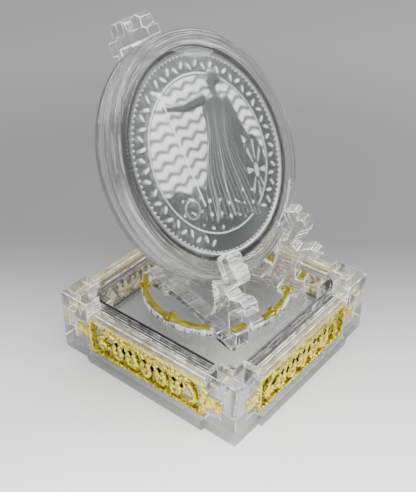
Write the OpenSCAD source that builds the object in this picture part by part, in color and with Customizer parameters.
// Round two-piece coin capsule held leaning back on a small clear tray stand.
// +Z is up, the origin is the centre of the tray's underside, and the coin faces -Y.

/* [Tray] */
// Side of the square tray, over the corner posts
tray_side = 43; // [40:1:50]
// Height of the corner posts' tops above the table
tray_height = 13.7; // [13:0.1:16]
// Thickness of the bottom plate
floor_thickness = 2.6; // [2:0.1:3]
// How far the bottom plate stands out between the posts
tongue = 0.8; // [0.5:0.1:1.5]
// Side of each square corner post
post_side = 7; // [6:0.5:8]
// Thickness of the gold knotwork panels
panel_thickness = 1.5; // [1.2:0.1:2]
// Thickness of the clear wall behind each panel
wall_thickness = 2; // [1.5:0.1:2.5]
// Height of the clear rail on top of each wall
rail_height = 1.5; // [1:0.1:2]
// Height of the rails' tops above the table
rail_top = 12.3; // [12:0.1:13]

/* [Deck and ring] */
// Thickness of the clear deck plate
deck_thickness = 2.5; // [2:0.1:3]
// Mean radius of the gold ring on the deck
ring_radius = 14; // [12:0.1:14.5]
// Width of the gold ring
ring_width = 1.1; // [1:0.1:2]
// Width of the clear ring under the gold
carrier_width = 1.5; // [1.2:0.1:3]
// Thickness of the clear ring under the gold
carrier_thickness = 1.3; // [0.8:0.1:1.5]
// Thickness of the gold ring
gold_thickness = 0.5; // [0.4:0.1:0.8]

/* [Coin and capsule] */
// Diameter of the coin
coin_diameter = 38.61; // [38:0.01:39]
// Thickness of the coin
coin_thickness = 2.98; // [2.5:0.01:3.1]
// Outer diameter of the capsule
capsule_diameter = 45; // [44:0.1:46]
// Angle that the coin leans back from upright
lean = 29.5; // [25:0.5:35]
// Height of the coin's centre above the table
coin_z = 41.7; // [41:0.1:43]
// Distance of the coin's centre behind the tray's centre
coin_y = 1.9; // [1:0.1:3]

/* [Holder] */
// Thickness of the clear sheet that the hooks and the spine are cut from
sheet = 3; // [2.5:0.1:3.5]
// Angle that each front hook is turned outwards
splay = 13; // [10:1:15]
// Distance of each hook's nose from the middle
hook_x = 10.84; // [10:0.1:11.5]
// Distance of each hook's nose in front of the middle
hook_y = 15.79; // [15:0.1:16.2]
// Clearance between the capsule and what holds it
hold_gap = 0.3; // [0.2:0.05:0.5]

/* [Hidden] */
$fn = 96;

clear = [0.86, 0.89, 0.90, 0.45];
gold = [0.80, 0.66, 0.16];
silver = [0.74, 0.76, 0.75];

tray_half = tray_side / 2;
post_inner = tray_half - post_side;
panel_inset = 0.1;
panel_inner = tray_half - panel_inset - panel_thickness;
wall_inner = panel_inner - wall_thickness;
panel_top = rail_top - rail_height;
deck_gap = 0.35;
deck_half = wall_inner - deck_gap;
deck_top = rail_top - 0.1;
deck_bottom = deck_top - deck_thickness;
deck_corner = 3;

// The tabs at the ends of each knotwork panel, and the grooves that they lie in
tab_length = 3.5;
tab_bottom = 5.4;
tab_top = 7.8;
groove_bottom = 4.5;
groove_top = 8.6;

// The knotwork: a chain of rings between two borders
border = 0.9;
knot_count = 7;
knot_outer = 3.4;
knot_inner = 2.65;
knot_pitch = 4.0;

coin_radius = coin_diameter / 2;
capsule_radius = capsule_diameter / 2;
// Distances along the coin's axis, from its front face; positive is towards the viewer
capsule_front = 1.7;
capsule_rear = -4.7;
split_line = -1.6;
hook_relief = 0.6;

// Bottom of the hooks' and spine's long feet, and their tops
foot_top = deck_top + 1.6;
// Stretches of each hook's foot, from its nose, that go through the deck
hook_tabs = [[-7, -2.6], [-28, -23]];
spine_tabs = [[-4, 0], [6, 9]];

// Start and end angles of the ring's three arcs, counted from +X
left_arc = [120, 214];
front_arc = [257, 301];
right_arc = [-34, 60];

// Puts a shape at the coin: x is across, y is up along the coin, z is out of its face
module at_coin() {
    translate([0, coin_y, coin_z]) rotate([90 - lean, 0, 0]) children();
}

// Stands an outline of one front hook up: x is forwards from the nose, y is up
module in_hook_plane(thickness = sheet) {
    translate([-hook_x, -hook_y, 0])
    rotate([0, 0, -90 - splay])
    rotate([90, 0, 0])
    linear_extrude(thickness, center = true)
    children();
}

// Stands an outline up in the middle plane: x is backwards, y is up
module in_middle_plane(thickness = sheet) {
    rotate([90, 0, 90])
    linear_extrude(thickness, center = true)
    children();
}

// Mirrors a left-hand piece to the side that it is on
module on_side(side) {
    if (side > 0) mirror([1, 0, 0]) children();
    else children();
}

// The room that the capsule needs at rest and on its way up out of the hooks
module capsule_room() {
    room_radius = capsule_radius + hold_gap;
    room_front = capsule_front + hook_relief;
    room_rear = capsule_rear - hold_gap;
    at_coin() {
        translate([0, 0, room_rear]) cylinder(r = room_radius, h = room_front - room_rear);
        translate([-room_radius, 0, room_rear])
        cube([2 * room_radius, 3 * capsule_radius, room_front - room_rear]);
    }
}

module rounded_square(half, corner) {
    inner = half - corner;
    square([2 * half, 2 * inner], center = true);
    square([2 * inner, 2 * half], center = true);
    for (x = [-inner, inner], y = [-inner, inner]) translate([x, y]) circle(corner);
}

// ---- Tray ----

module base_plate() {
    color(clear) linear_extrude(floor_thickness) {
        square(tray_side, center = true);
        square([2 * post_inner, tray_side + 2 * tongue], center = true);
        square([tray_side + 2 * tongue, 2 * post_inner], center = true);
    }
}

// A corner post with a groove for a panel's tab in each outer face and a ledge for the deck
module corner_post(side_x, side_y) {
    ledge = deck_half + deck_gap;
    groove_depth = panel_thickness + panel_inset + 0.1;
    groove_height = groove_top - groove_bottom;
    color(clear)
    mirror([side_x < 0 ? 1 : 0, 0, 0])
    mirror([0, side_y < 0 ? 1 : 0, 0])
    difference() {
        translate([post_inner, post_inner, floor_thickness])
        cube([post_side, post_side, tray_height - floor_thickness]);
        translate([post_inner - 1, post_inner - 1, deck_bottom])
        cube([ledge - post_inner + 1, ledge - post_inner + 1, tray_height]);
        translate([post_inner - 1, tray_half - groove_depth, groove_bottom])
        cube([tab_length + 1.2, groove_depth + 1, groove_height]);
        translate([tray_half - groove_depth, post_inner - 1, groove_bottom])
        cube([groove_depth + 1, tab_length + 1.2, groove_height]);
    }
}

// turn counts quarter turns from the front side
module wall(turn) {
    color(clear) rotate([0, 0, 90 * turn])
    translate([-post_inner, -panel_inner, floor_thickness])
    cube([2 * post_inner, wall_thickness, panel_top - floor_thickness]);
}

// A rail with a fine groove along its top, over the joint between its wall and its panel
module rail(turn) {
    line_width = 0.3;
    line_depth = 0.8;
    color(clear) rotate([0, 0, 90 * turn]) difference() {
        translate([-post_inner, -tray_half, panel_top])
        cube([2 * post_inner, tray_half - wall_inner, rail_height]);
        translate([-post_inner - 1, -panel_inner - line_width / 2, rail_top - line_depth])
        cube([2 * post_inner + 2, line_width, line_depth + 1]);
    }
}

module knot_outline() {
    middle = (floor_thickness + panel_top) / 2;
    length = 2 * post_inner;
    translate([-post_inner, panel_top - border]) square([length, border]);
    translate([-post_inner, floor_thickness]) square([length, border]);
    for (end = [-1, 1]) {
        translate([end * (post_inner - border / 2), middle])
        square([border, panel_top - floor_thickness], center = true);
        translate([end * (post_inner + tab_length / 2 - border / 2), (tab_bottom + tab_top) / 2])
        square([tab_length + border, tab_top - tab_bottom], center = true);
    }
    for (i = [0 : knot_count - 1]) {
        translate([(i - (knot_count - 1) / 2) * knot_pitch, middle]) difference() {
            circle(knot_outer);
            circle(knot_inner);
        }
    }
}

module knot_panel(turn) {
    color(gold) rotate([0, 0, 90 * turn])
    translate([0, -panel_inner, 0])
    rotate([90, 0, 0])
    linear_extrude(panel_thickness)
    knot_outline();
}

// ---- Deck and ring ----

module deck() {
    slot_gap = 0.1;
    color(clear) difference() {
        translate([0, 0, deck_bottom])
        linear_extrude(deck_thickness)
        rounded_square(deck_half, deck_corner);
        for (side = [-1, 1]) on_side(side) {
            in_hook_plane(sheet + 2 * slot_gap)
            foot_tabs(hook_tabs, slot_gap);
        }
        in_middle_plane(sheet + 2 * slot_gap) foot_tabs(spine_tabs, slot_gap);
    }
}

// The tabs that go down through the deck from a foot
module foot_tabs(stretches, gap = 0) {
    for (stretch = stretches) {
        translate([stretch[0] - gap, deck_bottom - gap])
        square([stretch[1] - stretch[0] + 2 * gap, deck_thickness + 0.5]);
    }
}

module ring_piece(arc, width, thickness) {
    rotate([0, 0, arc[0]])
    rotate_extrude(angle = arc[1] - arc[0])
    translate([ring_radius - width / 2, 0])
    square([width, thickness]);
}

// The clear piece under a gold arc, longer than it by the angle before at its start
module ring_base(arc, before = 2) {
    after = 2;
    color(clear) translate([0, 0, deck_top])
    ring_piece([arc[0] - before, arc[1] + after], carrier_width, carrier_thickness);
}

// A gold arc with a small two-stud lug across it at each of the given angles
module gold_arc(arc, lugs) {
    lug_width = 2.2;
    lug_length = 1.6;
    stud_radius = 0.35;
    stud_height = 0.5;
    color(gold) translate([0, 0, deck_top + carrier_thickness]) {
        ring_piece(arc, ring_width, gold_thickness);
        for (lug = lugs) rotate([0, 0, lug]) translate([ring_radius, 0, 0]) {
            translate([-lug_width / 2, -lug_length / 2, 0])
            cube([lug_width, lug_length, gold_thickness]);
            for (x = [-0.6, 0.6]) {
                translate([x, 0, 0]) cylinder(r = stud_radius, h = gold_thickness + stud_height, $fn = 24);
            }
        }
    }
}

// ---- Holder ----

// Side view of a front hook, forwards and up from under its nose
module hook_outline() {
    polygon([[-30.5, deck_top], [-1.4, deck_top],
             [-1.5, 15.6], [-3.4, 15.6], [-3.8, 19.2], [-2.4, 20.4],
             [0.9, 21.2], [0.3, 23.0], [-0.9, 23.5], [-3.6, 22.3],
             [-5.0, 23.2], [-4.3, 24.6], [-2.1, 26.0], [-1.8, 27.0],
             [-2.9, 29.1], [-4.0, 29.0], [-4.2, 30.2], [-4.8, 30.6],
             [-6.2, 30.4], [-7.4, 29.0], [-8.3, 24.5],
             [-8.7, 22.6], [-7.9, 19.4], [-8.6, 16.4], [-10.4, foot_top],
             [-29.3, foot_top]]);
    foot_tabs(hook_tabs);
}

module hook(side) {
    color(clear) on_side(side) difference() {
        in_hook_plane() hook_outline();
        capsule_room();
    }
}

// The gold strip on the step of a hook's foot
module hook_cap(side) {
    cap_thickness = 0.5;
    color(gold) on_side(side) in_hook_plane()
    translate([-3.1, 15.6])
    square([1.2, cap_thickness]);
}

// Distance back and height of a point that is d along the coin's axis and u up the coin
function leaning(d, u) = [
    coin_y - d * cos(lean) + u * sin(lean),
    coin_z + d * sin(lean) + u * cos(lean)
];

module spine_outline() {
    front = capsule_rear - hold_gap;
    back = front - 6.5;
    tenon_front = front - 1.6;
    tenon_back = back + 1.6;
    shoulder = 20.8;
    polygon([[-6, deck_top], [-6, foot_top], leaning(front, -24),
             leaning(front, shoulder), leaning(tenon_front, shoulder),
             leaning(tenon_front, shoulder + 1.8), leaning(tenon_back, shoulder + 1.8),
             leaning(tenon_back, shoulder), leaning(back, shoulder),
             leaning(back, -6), leaning(back - 1.2, -16),
             [10, foot_top + 2], [12, foot_top], [12, deck_top]]);
}

module spine() {
    color(clear) union() {
        in_middle_plane() spine_outline();
        in_middle_plane() foot_tabs(spine_tabs);
    }
}

// A clip that straddles the spine's tenon and reaches forwards over the capsule's rim
module top_clip() {
    front = capsule_rear - hold_gap;
    back = front - 6.5;
    shoulder = 20.8;
    slot_gap = 0.1;
    seat = capsule_radius + hold_gap;
    color(clear) difference() {
        in_middle_plane()
        polygon([leaning(back, shoulder + slot_gap), leaning(front, shoulder + slot_gap),
                 leaning(front, seat), leaning(-1.5, seat),
                 leaning(-1.5, 24.4), leaning(-2.3, 24.8), leaning(-2.0, 26.4),
                 leaning(-3.0, 27.2), leaning(-4.4, 27.0), leaning(-4.8, 24.8),
                 leaning(-6.2, 24.8), leaning(-6.4, 26.6), leaning(-7.6, 27.4),
                 leaning(-10.2, 27.2), leaning(-10.6, 24.8), leaning(-12.4, 24.4),
                 leaning(-12.6, 21.9), leaning(back, 21.7)]);
        in_middle_plane(sheet + 1)
        polygon([leaning(front - 1.6 + slot_gap, shoulder), leaning(back + 1.6 - slot_gap, shoulder),
                 leaning(back + 1.6 - slot_gap, shoulder + 1.9),
                 leaning(front - 1.6 + slot_gap, shoulder + 1.9)]);
    }
}

// ---- Capsule and coin ----

// Radii of the capsule's walls
socket_radius = coin_radius + 0.25;
spigot_radius = 20.9;
skirt_inner = spigot_radius + 0.1;
window_back = -coin_thickness - 0.1;
window_front = 0.1;

module capsule_back() {
    color(clear) at_coin() rotate_extrude()
    polygon([[0, capsule_rear + 0.5], [19.2, capsule_rear + 0.5], [19.6, capsule_rear],
             [21.2, capsule_rear], [21.5, capsule_rear + 0.5], [22.2, capsule_rear + 0.5],
             [capsule_radius, capsule_rear + 0.9], [capsule_radius, split_line],
             [spigot_radius, split_line], [spigot_radius, window_front - 0.1],
             [socket_radius, window_front - 0.1], [socket_radius, window_back], [0, window_back]]);
}

module capsule_lid() {
    color(clear) at_coin() rotate_extrude()
    polygon([[0, window_front], [skirt_inner, window_front], [skirt_inner, split_line + 0.1],
             [capsule_radius, split_line + 0.1], [capsule_radius, 0.6], [22.1, 1.1],
             [21.5, 1.1], [21.2, capsule_front], [20.1, capsule_front], [19.7, 1.2], [0, 1.2]]);
}

module coin() {
    rim = 1.2;
    relief = 0.25;
    color(silver) at_coin() rotate_extrude()
    polygon([[0, -coin_thickness + relief], [coin_radius - rim, -coin_thickness + relief],
             [coin_radius - rim + 0.2, -coin_thickness], [coin_radius - 0.15, -coin_thickness],
             [coin_radius, -coin_thickness + 0.15], [coin_radius, -0.15], [coin_radius - 0.15, 0],
             [coin_radius - rim + 0.2, 0], [coin_radius - rim, -relief], [0, -relief]]);
}

base_plate();
corner_post(-1, -1);  // post_front_left
corner_post(1, -1);  // post_front_right
corner_post(-1, 1);  // post_back_left
corner_post(1, 1);  // post_back_right
wall(0);  // wall_front
wall(1);  // wall_right
wall(2);  // wall_back
wall(3);  // wall_left
rail(0);  // rail_front
rail(1);  // rail_right
rail(2);  // rail_back
rail(3);  // rail_left
knot_panel(0);  // knot_panel_front
knot_panel(1);  // knot_panel_right
knot_panel(2);  // knot_panel_back
knot_panel(3);  // knot_panel_left
deck();
ring_base(left_arc);  // ring_base_left
ring_base(front_arc, 11);  // ring_base_front
ring_base(right_arc);  // ring_base_right
gold_arc(left_arc, [135, 180]);  // gold_arc_left
gold_arc(front_arc, [270, 299]);  // gold_arc_front
gold_arc(right_arc, [0, 45]);  // gold_arc_right
hook(-1);  // hook_left
hook(1);  // hook_right
hook_cap(-1);  // hook_cap_left
hook_cap(1);  // hook_cap_right
spine();
top_clip();
capsule_back();
capsule_lid();
coin();
